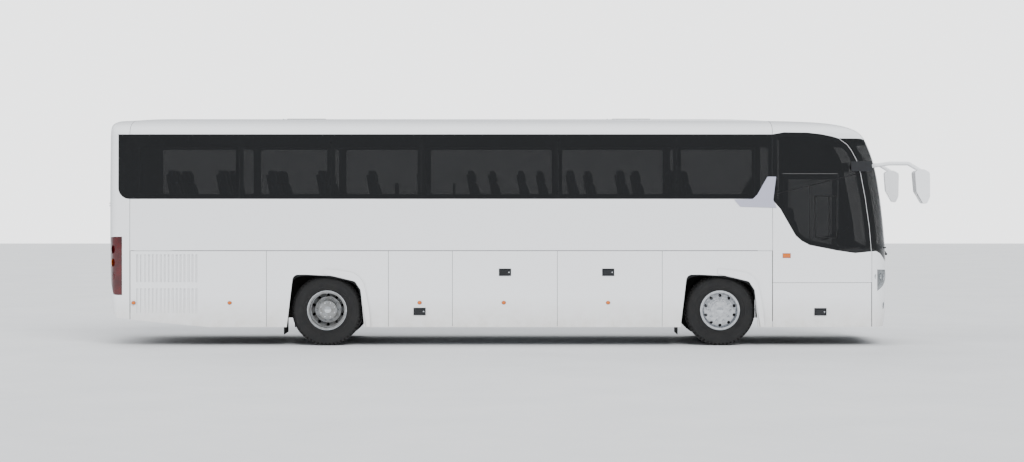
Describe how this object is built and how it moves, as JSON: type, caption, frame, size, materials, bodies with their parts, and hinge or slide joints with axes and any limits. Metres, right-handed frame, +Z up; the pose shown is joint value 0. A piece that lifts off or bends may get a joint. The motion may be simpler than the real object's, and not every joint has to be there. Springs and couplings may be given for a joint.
{
  "type": "touring coach",
  "caption": "Single-deck touring coach on a front single and a rear twin axle, with luggage bays under the cabin, opening doors, lids and hatches, steering and rolling wheels.",
  "frame": {"origin": "on the ground, at the middle of the overall length and width", "axes": "+X forward, +Y to the coach's left, +Z up"},
  "size_m": [12.4996, 2.98, 3.47],
  "materials": {
    "body_white": "gloss",
    "glass_dark": "gloss",
    "chassis_black": "satin",
    "steel": "satin",
    "cast": "matte",
    "rim_silver": "satin",
    "tyre": "matte",
    "rubber": "matte",
    "trim_black": "satin",
    "trim_grey": "matte",
    "fin_silver": "satin",
    "lamp_red": "gloss",
    "lamp_amber": "gloss",
    "lamp_clear": "gloss",
    "seat_fabric": "matte",
    "floor_vinyl": "matte"
  },
  "bodies": {
    "body": {"roof": "body_white", "rear_cap": "body_white", "front_cap": "body_white", "front_mask": "body_white", "side_wall_right": "body_white", "side_wall_left": "body_white", "skirt_right": "body_white", "skirt_left": "body_white", "floor_deck": "floor_vinyl", "underframe": "chassis_black", "chassis_rails": "chassis_black", "wheel_houses": "chassis_black", "side_glass": "glass_dark", "windscreen": "glass_dark", "rear_window": "glass_dark", "headlamps": "lamp_clear", "tail_lamps": "lamp_red", "marker_lamps": "lamp_amber", "mirrors": "trim_black", "wipers": "trim_black", "fin_trims": "fin_silver", "seats_right": "seat_fabric", "seats_left": "seat_fabric", "driver_seat": "seat_fabric", "dashboard": "trim_grey", "luggage_racks": "trim_grey", "engine_block": "chassis_black", "front_axle": "cast", "rear_axle": "cast", "air_springs": "rubber", "mudflaps": "rubber"},
    "steering_wheel": {"steering_wheel": "trim_black"},
    "knuckle_right": {"knuckle_right": "cast"},
    "front_wheel_right": {"front_wheel_right": "rim_silver", "front_tyre_right": "tyre"},
    "rear_wheels_right": {"rear_wheels_right": "rim_silver", "rear_tyres_right": "tyre"},
    "knuckle_left": {"knuckle_left": "cast"},
    "front_wheel_left": {"front_wheel_left": "rim_silver", "front_tyre_left": "tyre"},
    "rear_wheels_left": {"rear_wheels_left": "rim_silver", "rear_tyres_left": "tyre"},
    "tie_rod": {"tie_rod": "steel"},
    "lift_arms_rf": {"lift_arms_rf": "steel"},
    "luggage_door_rf": {"luggage_door_rf": "body_white"},
    "lift_arms_rr": {"lift_arms_rr": "steel"},
    "luggage_door_rr": {"luggage_door_rr": "body_white"},
    "lift_arms_lf": {"lift_arms_lf": "steel"},
    "luggage_door_lf": {"luggage_door_lf": "body_white"},
    "lift_arms_lr": {"lift_arms_lr": "steel"},
    "luggage_door_lr": {"luggage_door_lr": "body_white"},
    "service_door": {"service_door": "body_white"},
    "locker_door": {"locker_door": "body_white"},
    "front_door_arm": {"front_door_arm": "steel"},
    "front_door": {"front_door": "body_white"},
    "centre_door_arm": {"centre_door_arm": "steel"},
    "centre_door": {"centre_door": "body_white"},
    "engine_lid": {"engine_lid": "body_white"},
    "roof_hatch_front": {"roof_hatch_front": "body_white"},
    "roof_hatch_rear": {"roof_hatch_rear": "body_white"}
  },
  "joints": [
    {"name": "steer", "type": "hinge", "parent": "body", "child": "steering_wheel", "pos_m": [4.93, -0.7, 1.69], "axis": [-0.4226, 0, 0.9063], "range_deg": [-840, 840]},
    {"name": "kingpin_left", "type": "hinge", "parent": "body", "child": "knuckle_left", "pos_m": [3.105, 0.89, 0.535], "axis": [0, 0, 1], "range_deg": [-42, 42]},
    {"name": "front_spin_left", "type": "hinge", "parent": "knuckle_left", "child": "front_wheel_left", "pos_m": [3.105, 1.06, 0.535], "axis": [0, 1, 0], "continuous": true},
    {"name": "rear_spin_left", "type": "hinge", "parent": "body", "child": "rear_wheels_left", "pos_m": [-2.865, 0.905, 0.535], "axis": [0, 1, 0], "continuous": true},
    {"name": "kingpin_right", "type": "hinge", "parent": "body", "child": "knuckle_right", "pos_m": [3.105, -0.89, 0.535], "axis": [0, 0, 1], "range_deg": [-42, 42]},
    {"name": "front_spin_right", "type": "hinge", "parent": "knuckle_right", "child": "front_wheel_right", "pos_m": [3.105, -1.06, 0.535], "axis": [0, 1, 0], "continuous": true},
    {"name": "rear_spin_right", "type": "hinge", "parent": "body", "child": "rear_wheels_right", "pos_m": [-2.865, -0.905, 0.535], "axis": [0, 1, 0], "continuous": true},
    {"name": "tie_rod_eye", "type": "hinge", "parent": "knuckle_left", "child": "tie_rod", "pos_m": [2.905, 0.89, 0.374], "axis": [0, 0, 1], "range_deg": [-42, 42]},
    {"name": "lift_rf", "type": "hinge", "parent": "body", "child": "lift_arms_rf", "pos_m": [1.43, -1.175, 1.345], "axis": [-1, 0, 0], "range_deg": [0, 112]},
    {"name": "level_rf", "type": "hinge", "parent": "lift_arms_rf", "child": "luggage_door_rf", "pos_m": [1.43, -1.175, 0.825], "axis": [-1, 0, 0], "range_deg": [-112, 0]},
    {"name": "lift_rr", "type": "hinge", "parent": "body", "child": "lift_arms_rr", "pos_m": [-0.16, -1.175, 1.345], "axis": [-1, 0, 0], "range_deg": [0, 112]},
    {"name": "level_rr", "type": "hinge", "parent": "lift_arms_rr", "child": "luggage_door_rr", "pos_m": [-0.16, -1.175, 0.825], "axis": [-1, 0, 0], "range_deg": [-112, 0]},
    {"name": "lift_lf", "type": "hinge", "parent": "body", "child": "lift_arms_lf", "pos_m": [1.43, 1.175, 1.345], "axis": [1, 0, 0], "range_deg": [0, 112]},
    {"name": "level_lf", "type": "hinge", "parent": "lift_arms_lf", "child": "luggage_door_lf", "pos_m": [1.43, 1.175, 0.825], "axis": [1, 0, 0], "range_deg": [-112, 0]},
    {"name": "lift_lr", "type": "hinge", "parent": "body", "child": "lift_arms_lr", "pos_m": [-0.16, 1.175, 1.345], "axis": [1, 0, 0], "range_deg": [0, 112]},
    {"name": "level_lr", "type": "hinge", "parent": "lift_arms_lr", "child": "luggage_door_lr", "pos_m": [-0.16, 1.175, 0.825], "axis": [1, 0, 0], "range_deg": [-112, 0]},
    {"name": "service_hinge", "type": "hinge", "parent": "body", "child": "service_door", "pos_m": [-1.44, -1.277, 1.441], "axis": [-1, 0, 0], "range_deg": [0, 90]},
    {"name": "locker_hinge", "type": "hinge", "parent": "body", "child": "locker_door", "pos_m": [4.6515, -1.277, 0.958], "axis": [-1, 0, 0], "range_deg": [0, 90]},
    {"name": "front_door_swing", "type": "hinge", "parent": "body", "child": "front_door_arm", "pos_m": [5.18, 1.165, 1.22], "axis": [0, 0, -1], "range_deg": [0, 152]},
    {"name": "front_door_level", "type": "hinge", "parent": "front_door_arm", "child": "front_door", "pos_m": [4.8, 1.18, 1.22], "axis": [0, 0, -1], "range_deg": [-152, 0]},
    {"name": "centre_door_swing", "type": "hinge", "parent": "body", "child": "centre_door_arm", "pos_m": [-1.815, 1.165, 1.22], "axis": [0, 0, 1], "range_deg": [0, 152]},
    {"name": "centre_door_level", "type": "hinge", "parent": "centre_door_arm", "child": "centre_door", "pos_m": [-1.435, 1.18, 1.22], "axis": [0, 0, 1], "range_deg": [-152, 0]},
    {"name": "engine_lid_hinge", "type": "hinge", "parent": "body", "child": "engine_lid", "pos_m": [-6.252, 0, 1.863], "axis": [0, 1, 0], "range_deg": [0, 80]},
    {"name": "roof_hatch_front_hinge", "type": "hinge", "parent": "body", "child": "roof_hatch_front", "pos_m": [2.208, 0, 3.472], "axis": [0, 1, 0], "range_deg": [0, 60]},
    {"name": "roof_hatch_rear_hinge", "type": "hinge", "parent": "body", "child": "roof_hatch_rear", "pos_m": [-2.862, 0, 3.472], "axis": [0, 1, 0], "range_deg": [0, 60]}
  ],
  "couplings": [
    {"joint": "kingpin_left", "follows": "steer", "ratio": 0.05},
    {"joint": "kingpin_right", "follows": "steer", "ratio": 0.05},
    {"joint": "tie_rod_eye", "follows": "steer", "ratio": -0.05},
    {"joint": "level_rf", "follows": "lift_rf", "ratio": -1},
    {"joint": "level_rr", "follows": "lift_rr", "ratio": -1},
    {"joint": "level_lf", "follows": "lift_lf", "ratio": -1},
    {"joint": "level_lr", "follows": "lift_lr", "ratio": -1},
    {"joint": "front_door_level", "follows": "front_door_swing", "ratio": -1},
    {"joint": "centre_door_level", "follows": "centre_door_swing", "ratio": -1}
  ]
}
